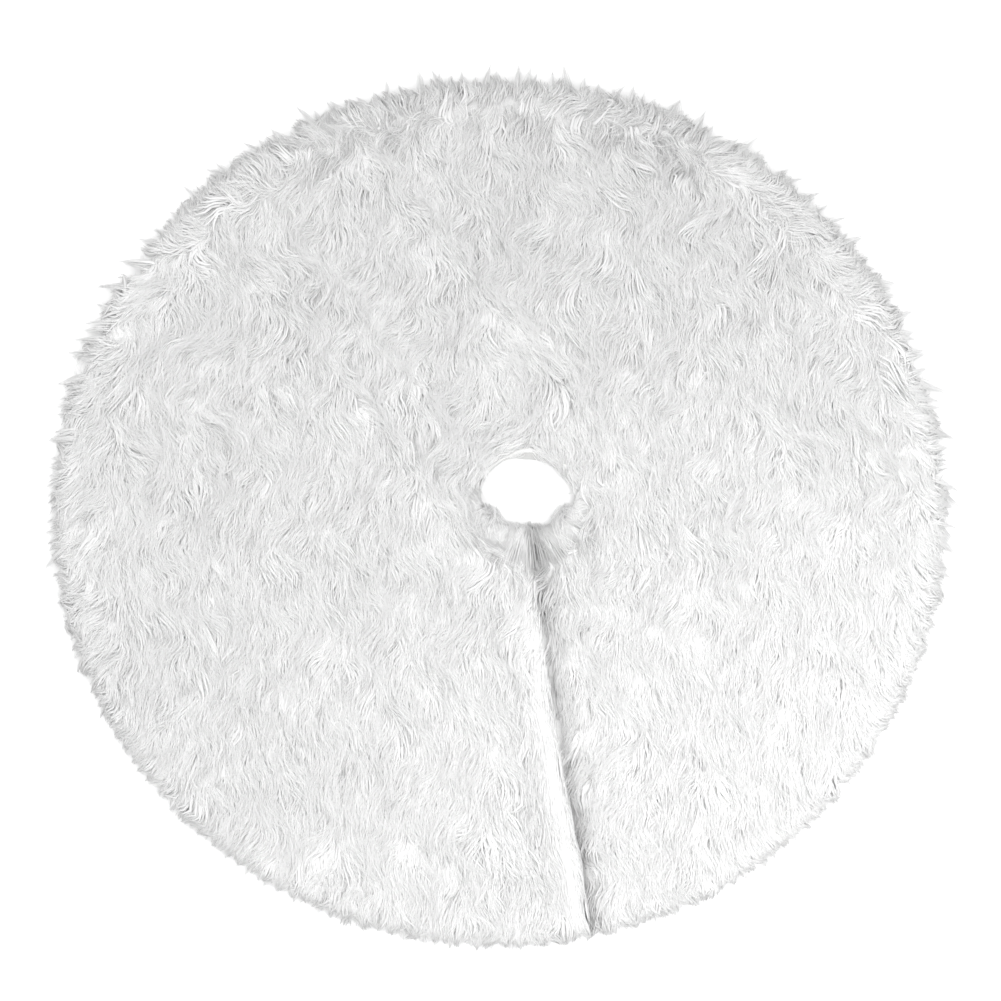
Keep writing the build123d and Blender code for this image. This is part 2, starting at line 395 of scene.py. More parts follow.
def grow(rng, roots, long, rise, wild, lock_size, pull):
    """Paths of fibres, with a shade for each: they rise, bend along the comb, wave, and draw into locks."""
    n = len(roots)
    middle, number = locks(roots, lock_size, 21)
    edge = 1 - smooth(2 * MM, 30 * MM, from_rim(roots))
    calm = 1 - 0.8 * on_roll(roots)
    own = by_lock(number, 30)
    turn = calm * (by_lock(number, 31, 0.17) + rng.normal(0, 0.10 * wild, n))
    swing = calm * (0.30 + 0.12 * by_lock(number, 32)) + rng.normal(0, 0.08 * wild, n)
    phase = 2 * math.pi * share_by_lock(number, 33)
    size = long * (1 + 0.14 * by_lock(number, 34) + rng.normal(0, 0.10, n))
    step = size * (1 - 0.12 * (1 - calm)) / FIBRE_STEPS
    tilt0 = rise * (1 + 0.10 * LIFT(roots) + 0.06 * LIFT_FINE(roots) + 0.06 * by_lock(number, 35))
    tilt0 = (tilt0 + rng.normal(0, 0.04 * wild, n)) * (0.35 + 0.65 * calm) * (1 - 0.5 * edge)
    side = slit_side(roots)
    tilt0 = tilt0 * (1 - 0.75 * bump(side, 4 * MM, 16 * MM) * (side > 0))
    to_middle = (middle - roots) * 0.6      # a fibre follows the comb nearer to its lock's middle
    path = np.zeros((n, FIBRE_STEPS + 1, 3))
    path[:, 0, :2] = roots
    path[:, 0, 2] = bed(roots) - ROOT_DEPTH
    for k in range(FIBRE_STEPS):
        t = (k + 0.5) / FIBRE_STEPS
        tilt = tilt0 * (1 - t) ** 1.3 - 0.10 * t
        heading = comb_direction(path[:, k, :2] + to_middle, own)
        angle = heading + turn + swing * np.sin(2 * math.pi * 0.85 * t + phase)
        way = np.stack([np.cos(tilt) * np.cos(angle), np.cos(tilt) * np.sin(angle), np.sin(tilt)], -1)
        path[:, k + 1] = path[:, k] + step[:, None] * way
    t = np.linspace(0, 1, FIBRE_STEPS + 1)
    path = draw_together(path, number, pull * t**1.5)
    over_bed(path)
    path[:, :, 2] += (by_lock(number, 36, 0.5 * MM) * (1 - 0.8 * edge) * calm)[:, None] * t
    _, tuft = rim_tuft(roots)
    short = rng.uniform(0, 1, n) ** 1.5
    path = keep_back(path, rim_reach(roots, tuft) * (1 - 0.6 * short))
    return into_tufts(path, 1 - 0.85 * short), share_by_lock(number, 38)


def over_bed(path):
    """Lifts fibres that would dive into the undercoat, where it rises beside the slit and the hole."""
    for k in range(1, path.shape[1]):
        p = path[:, k, :2]
        inside = (from_rim(p) > 0) & (from_hole(p) > 1.2 * MM)
        path[:, k, 2] = np.where(inside, np.maximum(path[:, k, 2], bed(p) + 0.3 * MM), path[:, k, 2])


def draw_together(path, number, pull):
    """Pulls the fibres of each lock towards their mean path, more towards the tips."""
    order, index = np.unique(number, return_inverse=True)
    index = index.ravel()
    count = np.bincount(index)
    mean = np.zeros((len(order), path.shape[1], 3))
    for k in range(path.shape[1]):
        for axis in range(3):
            mean[:, k, axis] = np.bincount(index, weights=path[:, k, axis]) / count
    return path + (mean[index] - path) * pull[None, :, None]


def keep_back(path, reach):
    """Keeps fibres within reach of the rim, off the hole, on their side of the slit, and off the floor."""
    root = path[:, :1, :]
    for past in (length(path[:, -1, :2] - RIM_C) - RIM_R - reach,
                 HOLE_R - hole_reach(path[:, 0, :2]) - length(path[:, -1, :2])):
        travel = np.maximum(length(path[:, -1, :2] - path[:, 0, :2]), 0.1 * MM)
        shrink = np.clip(1 - np.maximum(past, 0) / travel, 0.25, 1)
        path = root + (path - root) * shrink[:, None, None]
    waver = 0.8 * MM * EDGE_WAVER(path[:, :, :2].reshape(-1, 2))
    line = slit_line(path[:, :, 1]) + waver.reshape(path.shape[:2])
    front = path[:, :, 1] < -HOLE_R * 0.9
    left = on_flap_side(path[:, 0, :2])[:, None]
    right = (path[:, 0, 1] < 0)[:, None] & ~left
    x = path[:, :, 0]
    x = np.where(front & left & (x > line), line + (x - line) * 0.12, x)
    path[:, :, 0] = np.where(front & right & (x < line), line + (x - line) * 0.25, x)
    room = 4 * MM
    high = FIBRE_TOP - room
    z = path[:, :, 2]
    z = np.where(z > high, high + room * np.tanh((z - high) / room), z)
    path[:, :, 2] = np.maximum(z, FIBRE_FLOOR)
    return path


def strand_taper(t):
    return (1 - 0.45 * t) * (1 - t**4)


def blade_taper(t):
    return (0.6 + 0.4 * smooth(0, 0.35, t)) * (1 - t**2.2)


def even_taper(t):
    return 1 - 0.35 * t


# A strand's form: its cross section in half widths, how much it leans over, and its taper.
STRAND = (np.array([(-1.0, 0.0), (1.0, 0.0), (0.0, 0.45)]), 0.2, strand_taper)
BLADE = (np.array([(-1.0, 0.0), (0.0, -0.12), (1.0, 0.0), (0.45, 0.21), (-0.45, 0.21)]), 0.12, blade_taper)
ROUND = (np.array([(1.0, 0.0), (0.3, 0.95), (-0.8, 0.6), (-0.8, -0.6), (0.3, -0.95)]), 0.0, even_taper)


def strand_faces(rings, sides):
    """Triangles of one strand: a cap at its root, its sides, and its tip, which is the last point."""
    faces = [(0, j + 2, j + 1) for j in range(sides - 2)]
    for k in range(rings):
        for j in range(sides):
            a, b = k * sides + j, k * sides + (j + 1) % sides
            if k < rings - 1:
                faces += [(a, b, b + sides), (a, b + sides, a + sides)]
            else:
                faces.append((a, b, rings * sides))
    return np.array(faces)


def fibre_mesh(name, path, half_wide, shade, rng, form):
    """Closed tapered strands along the paths, in one mesh, each with the form's section across it."""
    section, lean, taper = form
    n, rings, sides = path.shape[0], path.shape[1] - 1, len(section)
    along = unit(np.gradient(path, axis=1))
    level = unit(np.cross(along, np.array([0.0, 0.0, 1.0])) + 1e-6)
    over = np.cross(level, along)
    roll = rng.normal(0, lean, n)[:, None, None]
    side = level * np.cos(roll) + over * np.sin(roll)
    top = over * np.cos(roll) - level * np.sin(roll)
    t = np.linspace(0, 1, rings + 1)
    wide = half_wide[:, None, None] * taper(t)[None, :, None]
    ring = [(path + side * wide * u + top * wide * v)[:, :rings] for u, v in section]
    body = np.stack(ring, 2).reshape(n, rings * sides, 3)
    points = np.concatenate([body, path[:, -1:, :]], 1).reshape(-1, 3)
    per = rings * sides + 1
    index = (strand_faces(rings, sides)[None] + (np.arange(n) * per)[:, None, None]).reshape(-1, 3)
    me = bpy.data.meshes.new(name)
    me.vertices.add(n * per)
    me.vertices.foreach_set("co", points.astype(np.float32).ravel())
    me.loops.add(index.size)
    me.loops.foreach_set("vertex_index", index.astype(np.int32).ravel())
    me.polygons.add(len(index))
    me.polygons.foreach_set("loop_start", np.arange(0, index.size, 3, dtype=np.int32))
    me.update(calc_edges=True)
    me.shade_smooth()
    up = np.concatenate([np.repeat(t[:rings], sides), [1.0]])
    across = np.concatenate([np.tile(section[:, 0], rings), [0.0]])
    values = {"up": np.tile(up, n), "across": np.tile(across, n), "lock": np.repeat(shade, per)}
    # share of painted shade that darkens each point's colour
    values["painted_shade"] = painted_shade_share(points)
    for key, value in values.items():
        me.attributes.new(key, "FLOAT", "POINT").data.foreach_set("value", value.astype(np.float32))
    return add_object(name, me)


def painted_shade_share(p):
    """How much painted shade the pile's colour takes: most in the slit's valley, standing for its shadow, and
    in the loose tufts past the rim, with a little over the hole.
    """
    over_hole = 0.1 * smooth(-2 * MM, 9 * MM, -from_hole(p[:, :2]))
    side = slit_side(p)
    half = (13 + 9 * (1 - smooth(0.08, 0.2, -p[:, 1]))) * MM
    # painted shadow of the slit's valley, right of the line where the two sides meet
    beside_slit = 0.95 * bump(side, 4 * MM, half) * smooth(-1 * MM, 1 * MM, side)
    loose = 0.75 * smooth(-6 * MM, 12 * MM, -from_rim(p[:, :2]))
    return np.maximum(np.maximum(loose, over_hole), beside_slit)


# ---- where the pieces go ----


def turn_of(p):
    """Angle round the hole's centre, from the turn ray through the slit to the turn ray again."""
    angle = np.arctan2(p[:, 1], p[:, 0])
    return np.where(angle > TURN_ANGLE + 2 * math.pi, angle - 2 * math.pi, angle)


def on_fold(ob):
    """Bakes a piece's transform into its mesh and leaves it where it lies."""
    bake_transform(ob)


def dress(ob, material, where, node=None):
    """Gives a piece its material and, unless it goes on the fold, its body, and hides the CAD node that it
    stands for.
    """
    ob.data.materials.append(material)
    if where == "fold":
        on_fold(ob)
    else:
        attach(ob, where)
    if node:
        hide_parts(node)


def plant(layer, rng, grown, widths, material, form):
    """Makes the pieces of one layer of fibres, in turn round the hole, and dresses each.

    The flap has the fibres from the slit to the turn ray.
    """
    path, shade = grown
    half_wide = rng.uniform(*widths, len(path)) * MM
    roots = path[:, 0, :2]
    turn = turn_of(roots)
    flap = (turn < SLIT_ANGLE + 0.5) & on_flap_side(roots) | (turn < -math.pi)
    each = 2 * len(form[0]) * (path.shape[1] - 1) - 2
    made = []
    for body, where, chosen in (("flap", "fold", flap), ("skirt", "skirt", ~flap)):
        index = np.flatnonzero(chosen)
        index = index[np.argsort(turn[index], kind="stable")]
        parts = math.ceil(len(index) * each / MOST_TRIANGLES)
        for i, piece in enumerate(np.array_split(index, parts)):
            name = f"{layer}_{body}_{i + 1:02d}"
            ob = fibre_mesh(name, path[piece], half_wide[piece], shade[piece], rng, form)
            dress(ob, material, where)
            made.append(ob)
    return made


# ---- materials ----

WAVE_PERIOD = math.pi / 10      # metres between the bands of a wave texture at scale 1


def new_material(name):
    m = bpy.data.materials.new(name)
    m.use_nodes = True
    return m, m.node_tree, m.node_tree.nodes["Principled BSDF"]


def feed(nt, shader, values):
    """Feeds a node's sockets, each with a constant or with another node's output."""
    for key, value in values.items():
        if isinstance(value, bpy.types.NodeSocket):
            nt.links.new(value, shader.inputs[key])
        else:
            shader.inputs[key].default_value = value


def add(nt, kind, output, values, **settings):
    """Adds a shader node, feeds its sockets, and gives one of its outputs."""
    made = nt.nodes.new("ShaderNode" + kind)
    for key, value in settings.items():
        setattr(made, key, value)
    feed(nt, made, values)
    return made.outputs[output]


def noise(nt, place, scale, detail):
    return add(nt, "TexNoise", "Fac", {"Vector": place, "Scale": scale, "Detail": detail})


def relief(nt, height, strength, distance):
    return add(nt, "Bump", "Normal", {"Height": height, "Strength": strength, "Distance": distance})


def between(nt, share, low, high):
    """A number that runs from low to high with the share."""
    return add(nt, "MapRange", "Result", {"Value": share, "To Min": low, "To Max": high})


def ramp(nt, share, low, dark, high, light):
    """A colour that runs from dark, where the share is low, to light; one number gives a grey."""
    made = nt.nodes.new("ShaderNodeValToRGB")
    for element, place, colour in zip(made.color_ramp.elements, (low, high), (dark, light)):
        element.position = place
        element.color = (*np.resize(colour, 3), 1)
    nt.links.new(share, made.inputs["Fac"])
    return made.outputs["Color"]


def carried(nt, key):
    """A value that every point of a strand carries."""
    return add(nt, "Attribute", "Fac", {}, attribute_name=key)


def scaled(nt, colour, share):
    return add(nt, "VectorMath", "Vector", {0: colour, "Scale": share}, operation="SCALE")


def paint_shade(nt, colour):
    """Painted shade: loose tufts past the rim, the pile over the hole and the pile that dips beside the slit
    are coloured darker than the rest, as if in shade.
    """
    return scaled(nt, colour, between(nt, carried(nt, "painted_shade"), 1.0, 0.74))


def fur_material():
    """White fibre: a touch darker at the root, as painted shade, and each lock a touch lighter or darker."""
    m, nt, p = new_material("white_plush")
    # painted shade: roots coloured darker than the tips
    tone = ramp(nt, carried(nt, "up"), 0.0, 0.955, 0.6, 0.975)
    tone = scaled(nt, tone, between(nt, carried(nt, "lock"), 0.985, 1.0))
    feed(nt, p, {"Base Color": paint_shade(nt, tone), "Roughness": 0.8, "Specular IOR Level": 0.1})
    return m


def shaded_lock_material():
    """The body of a lock: the white fibre coloured far darker, as painted shade, with fine lines along it as
    its fibres lie side by side.
    """
    m, nt, p = new_material("shaded_white_locks")
    axes = (("X", "across"), ("Y", "up"), ("Z", "lock"))
    place = add(nt, "CombineXYZ", "Vector", {axis: carried(nt, key) for axis, key in axes})
    place = add(nt, "VectorMath", "Vector", {0: place, 1: (3.5, 1.6, 90.0)}, operation="MULTIPLY")
    lines = noise(nt, place, 1.0, 2)
    # 0.70 to 0.78 against the lit fibre's 0.955 to 0.975: painted shade
    tone = ramp(nt, lines, 0.3, 0.70, 0.7, 0.78)
    feed(nt, p, {"Base Color": paint_shade(nt, tone), "Normal": relief(nt, lines, 0.3, 0.0005)})
    feed(nt, p, {"Roughness": 0.85, "Specular IOR Level": 0.1})
    return m


def noisy_material(name, scale, dark, light, rough, strength, distance, detail=4, specular=0.5):
    """One colour that varies from dark to light with a fine noise, which also gives its relief."""
    m, nt, p = new_material(name)
    grain = noise(nt, add(nt, "TexCoord", "Object", {}), scale, detail)
    tone = ramp(nt, grain, 0.3, dark, 0.7, light)
    feed(nt, p, {"Base Color": tone, "Normal": relief(nt, grain, strength, distance)})
    feed(nt, p, {"Roughness": rough, "Specular IOR Level": specular})
    return m


def shaded_undercoat_material():
    """The short dense fibres under the long ones: white, coloured darker as painted shade, mottled, and rough
    with a fine nap.
    """
    return noisy_material("shaded_white_undercoat", 700, 0.58, 0.68, 0.9, 0.4, 0.0006, detail=3, specular=0.1)


def thread_material():
    """Polyester sewing thread."""
    dark, light = (0.60, 0.60, 0.59), (0.72, 0.72, 0.71)
    return noisy_material("sewing_thread", 1800, dark, light, 0.45, 0.5, 0.0001)


def hook_material():
    """Drawn nylon hooks."""
    return noisy_material("nylon_hooks", 900, (0.62, 0.62, 0.61), (0.74, 0.74, 0.73), 0.32, 0.2, 0.00005)


def loop_material():
    """Soft brushed nylon loops."""
    return noisy_material("nylon_loops", 1500, (0.60, 0.60, 0.59), (0.74, 0.74, 0.73), 0.75, 0.3, 0.0001)


def woven_material(name, pitch, dark, light, rough, sheen):
    """Plain weave: threads both ways at this pitch, a little uneven, with a soft mottle."""
    m, nt, p = new_material(name)
    place = add(nt, "TexCoord", "Object", {})
    threads = {"Vector": place, "Scale": WAVE_PERIOD / pitch, "Distortion": 0.5, "Detail": 1}
    warp, weft = (add(nt, "TexWave", "Fac", threads, bands_direction=axis) for axis in ("X", "Y"))
    weave = add(nt, "Math", "Value", {0: warp, 1: weft}, operation="MULTIPLY")
    mottle = noise(nt, place, 60, 4)
    both = add(nt, "Mix", "Result", {"Factor": 0.45, "A": weave, "B": mottle})
    feed(nt, p, {"Base Color": ramp(nt, both, 0.15, dark, 0.65, light)})
    feed(nt, p, {"Normal": relief(nt, weave, 0.5, 0.00015)})
    feed(nt, p, {"Roughness": between(nt, mottle, rough + 0.08, rough - 0.05)})
    feed(nt, p, {"Sheen Weight": sheen, "Specular IOR Level": 0.3})
    return m


# ---- the pile ----


def before_hole(p, width):
    """Whether points lie on the band of this width round the hole's front, where the pile leans over it."""
    return (from_hole(p) < width) & (unit(p) @ COMB > -0.1)


def make_pile():
    """Every layer of the pile, from the flat locks on the undercoat up to the loose tufts."""
    rng = np.random.default_rng(11)
    # body is the shaded copy of the white fibre: painted shade on the flat locks, the close pile and the
    # hole's fringe
    fibre, body = fur_material(), shaded_lock_material()
    roots = scatter(rng, 4.4 * MM, EDGE_CLEAR)
    roots = roots[~before_hole(roots, 22 * MM) & ~parted(roots)]
    grown = grow(rng, roots, 40 * MM, 0.18, 0.5, 15 * MM, 0.2)
    made = plant("locks", rng, grown, (1.3, 2.4), body, BLADE)

    roots = scatter(rng, 3.1 * MM, EDGE_CLEAR)
    grown = grow(rng, roots, 38 * MM, 0.32, 1.0, 9 * MM, 0.55)
    made += plant("pile", rng, grown, (0.25, 0.45), fibre, STRAND)

    roots = scatter(rng, 2.0 * MM, EDGE_CLEAR)
    roots = roots[before_hole(roots, 24 * MM) | parted(roots)]
    grown = grow(rng, roots, 38 * MM, 0.28, 1.0, 9 * MM, 0.55)
    made += plant("close_pile", rng, grown, (0.3, 0.5), body, STRAND)

    roots = scatter(rng, 4.5 * MM, 1.5 * MM)
    grown = grow(rng, roots, 42 * MM, 0.40, 2.0, 9 * MM, 0.3)
    made += plant("fine_pile", rng, grown, (0.18, 0.30), fibre, STRAND)

    made += plant("hole_fringe", rng, hole_fringe(rng), (0.3, 0.5), body, STRAND)
    made += plant("rim_tufts", rng, rim_tufts(rng), (0.35, 0.60), fibre, STRAND)
    return made


def rim_tufts(rng):
    """Paths of the fibres that stand past the rim in narrow pointed tufts, which are longest at the back."""
    count = int(2 * math.pi * RIM_R / (12 * MM))
    each = 16
    turn = (np.arange(count) + rng.uniform(0, 1.2, count)) * 2 * math.pi / count
    out = way_at(turn)
    along = quarter_turn(out)
    back = smooth(-0.5, 0.4, -(out @ COMB))
    reach = (9 + 8 * back + (5 + 12 * back) * rng.uniform(0, 1, count) ** 1.4) * MM
    lean = 0.5 * (along @ COMB) + rng.normal(0, 0.3, count)
    wide = rng.uniform(2.0, 5.5, count) * MM
    point = RIM_C + out * (RIM_R + reach)[:, None] + along * (lean * reach)[:, None]
    tuft = np.repeat(np.arange(count), each)
    n = len(tuft)
    angle = turn[tuft] + rng.uniform(-1, 1, n) * wide[tuft] / RIM_R
    inside = (RIM_R - rng.uniform(1, 14, n) * MM)[:, None]
    root = RIM_C + inside * way_at(angle)
    tip = root + (point[tuft] - root) * rng.uniform(0.78, 1.0, n)[:, None]
    curl = along[tuft] * rng.normal(0, 1.5 * MM, n)[:, None]
    low = bed(root) - ROOT_DEPTH
    end = rng.uniform(2, 9, n) * MM
    path = np.zeros((n, FIBRE_STEPS + 1, 3))
    for k in range(FIBRE_STEPS + 1):
        t = k / FIBRE_STEPS
        path[:, k, :2] = root + (tip - root) * t + curl * math.sin(math.pi * t)
        path[:, k, 2] = low + (end - low) * t + 3.5 * MM * math.sin(math.pi * t)
    clear = (root[:, 1] > 0) | (np.abs(slit_side(root)) > 9 * MM)
    return path[clear], share_by_lock(tuft, 42)[clear]


def hole_fringe(rng):
    """Paths of the fibres that lean over the hole's front and close it over the slit's end."""
    roots = scatter(rng, 1.5 * MM, EDGE_CLEAR)
    front = unit(roots) @ COMB
    roots = roots[(from_hole(roots) < rng.uniform(14, 36, len(roots)) * MM) & (front > -0.25)]
    n = len(roots)
    _, number = locks(roots, 8 * MM, 22)
    start = np.arctan2(roots[:, 1], roots[:, 0])
    start = np.where(start > math.pi / 2, start - 2 * math.pi, start)
    gather = 0.26 * share_by_lock(number, 39) + 0.06
    turn = (SLIT_ANGLE - start) * gather + rng.normal(0, 0.05, n)
    near = length(roots)
    far = HOLE_R - hole_reach(roots) * (1 - 0.5 * rng.uniform(0, 1, n) ** 2) * (1 + by_lock(number, 40, 0.06))
    far = np.maximum(far, near - 46 * MM)
    low = bed(roots) - ROOT_DEPTH
    high = 9.5 * MM + rng.uniform(0, 3.5, n) * MM + by_lock(number, 41, 0.6 * MM)
    high = np.maximum(high, low + 3 * MM)
    path = np.zeros((n, FRINGE_STEPS + 1, 3))
    for k in range(FRINGE_STEPS + 1):
        t = k / FRINGE_STEPS
        r = near + (far - near) * math.sin(0.5 * math.pi * t)
        path[:, k, :2] = r[:, None] * way_at(start + turn * t**2)
        path[:, k, 2] = low + (high - low) * smooth(0, 0.3, t) - 3 * MM * smooth(0.5, 1, t)
    over_bed(path)
    return path, share_by_lock(number, 38)


# ---- closed pieces ----


def add_piece(name, points, faces):
    """An object of these points and faces, with its normals facing out."""
    me = bpy.data.meshes.new(name)
    me.from_pydata(np.asarray(points).tolist(), [], faces)
    form = bmesh.new()
    form.from_mesh(me)
    bmesh.ops.recalc_face_normals(form, faces=form.faces)
    form.to_mesh(me)
    form.free()
    me.shade_smooth()
    return add_object(name, me)


def ring_faces(turns, around, first=0):
    """Faces through rings with this many points each, from the first point on, with both ends capped."""
    last = first + (turns - 1) * around
    faces = []
    for a in range(first, last, around):
        for j in range(around):
            k = (j + 1) % around
            faces.append((a + j, a + k, a + around + k, a + around + j))
    faces.append(tuple(range(first, first + around))[::-1])
    faces.append(tuple(range(last, last + around)))
    return faces


def skin(name, rings):
    """A closed piece through rings with as many points each, in order."""
    return add_piece(name, rings.reshape(-1, 3), ring_faces(*rings.shape[:2]))


def ray_to_rim(angle, radius):
    """Distance from the hole's centre to a circle round the skirt's middle, along each angle."""
    along = way_at(angle) @ RIM_C
    return along + np.sqrt(along**2 - RIM_C @ RIM_C + radius**2)


def on_ray(angle, radius):
    """Plan points at these distances along the rays, with the fixed edge's side shifted clear of the slit."""
    turned = angle - SLIT_ANGLE
    shift = np.where(turned >= 0, (FIXED_EDGE - FLAP_EDGE) * np.clip(1 - turned / 0.2, 0, 1), 0.0)
    return way_at(angle) * radius[:, None] + np.stack([shift, np.zeros_like(shift)], -1)


def fan(start, end, degrees):
    """Angles from start to end, at most this many degrees apart."""
    return np.linspace(start, end, int(abs(end - start) / math.radians(degrees)) + 2)


def swept(name, angles, section):
    """A closed piece round part of the hole, from the radius and height of each point of its section."""
    return skin(name, np.stack([np.column_stack([on_ray(angles, r), z]) for r, z in section], 1))


# ---- sheets ----


def sew(ob, material, where, node):
    """Dresses a flat piece."""
    dress(ob, material, where, node)


# ---- the fur's cloth ----

# Round the rim's edge and under the hem: distance inside the rim and height, in mm.
HEM_SECTION = (
    (0.0, 1.7), (0.2, 1.0), (1.0, 0.5), (3.0, 0.4),
    (HEM_LIP / MM, 0.4), (HEM_LIP / MM, 1.2), (5.0, 1.3), (3.6, 1.8),
)


def back_of_cloth(p):
    """Height of the cloth's back: low on the lining, and raised over the facing beside the slit."""
    near = smooth(FACING_EDGE - 0.6 * MM, FACING_EDGE + 0.4 * MM, p[:, 0]) * on_facing(p)
    return BACK_Z + (FACING_TOP - BACK_Z) * near


def fur_cloth(name, start, end):
    """The cloth and its dense undercoat, from behind the binding to the rim, with its hem turned under."""
    angles = fan(start, end, 1.0)
    rim = ray_to_rim(angles, RIM_R)
    hole = np.full_like(angles, HOLE_CUT)
    section = [(hole, np.full_like(angles, 2.0 * MM))]
    near_hole = (0, 0.006, 0.014, 0.024)
    near_rim = (0.957, 0.972, 0.984, 0.993)
    for share in (*near_hole, *np.linspace(0.04, 0.94, 44), *near_rim):
        r = hole + (rim - hole) * share
        section.append((r, bed(on_ray(angles, r))))
    for inside, z in HEM_SECTION:
        section.append((ray_to_rim(angles, RIM_R - inside * MM), np.full_like(angles, z * MM)))
    inner_rim = ray_to_rim(angles, RIM_R - HEM_LIP - 0.5 * MM)
    for share in np.linspace(0.995, 0.01, 46):
        r = hole + (inner_rim - hole) * share
        section.append((r, back_of_cloth(on_ray(angles, r))))
    return swept(name, angles, section)


def make_fur_cloth():
    material = shaded_undercoat_material()
    skirt = fur_cloth("fur_cloth_skirt", *SKIRT_SPAN)
    flap = fur_cloth("fur_cloth_flap", *FLAP_SPAN[::-1])
    dress(skirt, material, "skirt", "fur_fabric_skirt")
    dress(flap, material, "fold", "fur_fabric_flap")
    return skirt, flap


# ---- lining, facing and underlap ----


def make_lining(body, span, where, material):
    """The light woven lining, with slack puckers that fade towards its seams."""
    angles = fan(*span, 0.8)
    hole = np.full_like(angles, LINING_HOLE_R)
    rim = ray_to_rim(angles, LINING_R)
    under, over = [], []
    for share in np.linspace(0, 1, 60):
        p = on_ray(angles, hole + (rim - hole) * share)
        if body == "flap":
            past = smooth(0.0, 0.5 * MM, p[:, 0] - LINING_FLAP_EDGE) * (p[:, 1] < -42 * MM)
            p[:, 0] += (LINING_FLAP_EDGE - p[:, 0]) * past
        slack = smooth(0, 0.12, share) * smooth(0, 0.10, 1 - share)
        z = LINING_LOW + 0.13 * MM * (1 + np.tanh(SLACK(p))) * slack
        under.append(np.column_stack([p, z]))
        over.append(np.column_stack([p, z + 0.3 * MM]))
    ob = skin(f"lining_{body}_piece", np.stack(under + over[::-1], 1))
    sew(ob, material, where, f"lining_{body}")


def fine_outline(points, step):
    """A closed outline in mm with more points on its long sides, in metres."""
    fine = []
    for a, b in zip(points, points[1:] + points[:1]):
        a, b = np.array(a), np.array(b)
        parts = max(1, round(float(length(b - a)) / step))
        fine += [a + (b - a) * i / parts for i in range(parts)]
    return np.array(fine) * MM


def strip_ends(x):
    """y where the strips beside the slit start, clear of the hole's binding, and stop, at the hem."""
    start = -np.sqrt(STRIP_START_R**2 - x**2)
    stop = RIM_C[1] - np.sqrt(LINING_R**2 - (x - RIM_C[0]) ** 2)
    return start, stop


def slit_strip(name, outline, pucker_x):
    """A long strip beside the slit with this outline across it, and small puckers along its seam."""
    x, z = outline[:, 0], outline[:, 1]
    start, stop = strip_ends(x)
    share = np.linspace(0, 1, 150)[:, None]
    y = start + (stop - start) * share
    pucker = np.exp(-((x - pucker_x) / (4 * MM)) ** 2) * np.sin(y / (1.1 * MM) + 0.8 * np.sin(y / (7 * MM)))
    waver = 0.35 * MM * np.sin(y / (31 * MM) + 1.0) * (np.abs(x - pucker_x) < 4.5 * MM)
    wide = np.broadcast_to(x, y.shape) + waver * 0.5
    return skin(name, np.stack([wide, y, z + 0.07 * MM * pucker], -1))


# Across each strip: x and height, in mm.
FACING_OUTLINE = [
    (-46.0, 0.50), (-46.0, 0.92), (-45.6, 1.0), (-36.9, 1.0), (-36.0, 1.5), (-35.5, 3.1), (-34.8, 3.85),
    (-34.0, 4.0), (-7.0, 4.0), (-6.2, 3.9), (-6.0, 3.7), (-6.2, 3.5), (-7.0, 3.4), (-33.7, 3.4),
    (-34.4, 3.2), (-34.8, 2.6), (-35.0, 1.2), (-35.5, 0.5), (-36.5, 0.4), (-45.6, 0.4),
]
PLACKET_OUTLINE = [
    (-30.0, 0.7), (-29.7, 0.95), (-29.0, 1.0), (15.0, 1.0), (15.8, 0.9), (16.0, 0.7), (15.8, 0.5),
    (15.0, 0.4), (-29.0, 0.4), (-29.7, 0.45),
]


def make_facing(material):
    """The strip under the flap's free edge: high over the underlap, then down to a flange on the lining."""
    ob = slit_strip("facing", fine_outline(FACING_OUTLINE, 3.0), -42.6 * MM)
    sew(ob, material, "fold", "slit_facing_flap")


def make_placket(material):
    """The underlap: a strip sewn to the fixed edge, which lies under the flap and carries the loop tapes."""
    ob = slit_strip("placket", fine_outline(PLACKET_OUTLINE, 3.0), 12.6 * MM)
    sew(ob, material, "skirt", "underlap_placket")


# ---- the hole's binding ----

# Radius and height of the flange's two sides, in mm.
FLANGE_TOP = ((62.0, 0.55), (61.7, 0.95), (56.0, 1.0), (51.6, 1.0))
FLANGE_UNDER = ((50.6, 0.45), (56.0, 0.4), (61.7, 0.42))
# Radius of the bead, how far it lies under the binding's top, in mm, and how much of the ripple it has.
BEAD = (
    (51.0, 3.0, 0), (52.2, 2.4, 0), (54.0, 2.2, 1), (54.6, 1.4, 1), (54.0, 0.6, 1),
    (52.8, 0.1, 0), (51.6, 0.0, 0), (50.4, 0.5, 0), (49.8, 1.5, 0), (49.9, 3.0, 1),
)


def binding_section(angles):
    """The folded tape round the hole: flange, wall and rounded bead, which is higher at the back right."""
    tall = smooth(0, math.radians(25), angles) * (1 - smooth(math.radians(82), math.radians(112), angles))
    high = (7.0 + 5.5 * tall + 0.25 * np.sin(angles * 23) + 0.2 * np.sin(angles * 41 + 1)) * MM
    out = 0.6 * tall * MM
    ripple = 0.12 * MM * np.sin(angles * 61 + np.sin(angles * 17))
    level = np.full_like(angles, MM)
    rows = [(r * MM + ripple * 0.5, z * level) for r, z in FLANGE_TOP]
    rows.append((51.0 * level, 2.0 * level))
    rows += [(r * MM + out + ripple * share, high - down * MM) for r, down, share in BEAD]
    foot = (50.1 - 4.5 * tall) * MM
    rows += [(foot + 2 * MM * tall, high * 0.45), (foot + ripple, 1.6 * level), (foot, 0.8 * level)]
    return rows + [(r * MM + ripple * 0.5, z * level) for r, z in FLANGE_UNDER]


def make_binding(body, span, where, satin, highlight_satin):
    angles = fan(*span, 1.2)
    section = binding_section(np.where(angles < -math.pi, angles + 2 * math.pi, angles))
    ob = swept(f"binding_{body}", angles, section)
    sew(ob, satin, where, f"hole_binding_{body}")
    paint_fold_highlight(ob, highlight_satin)


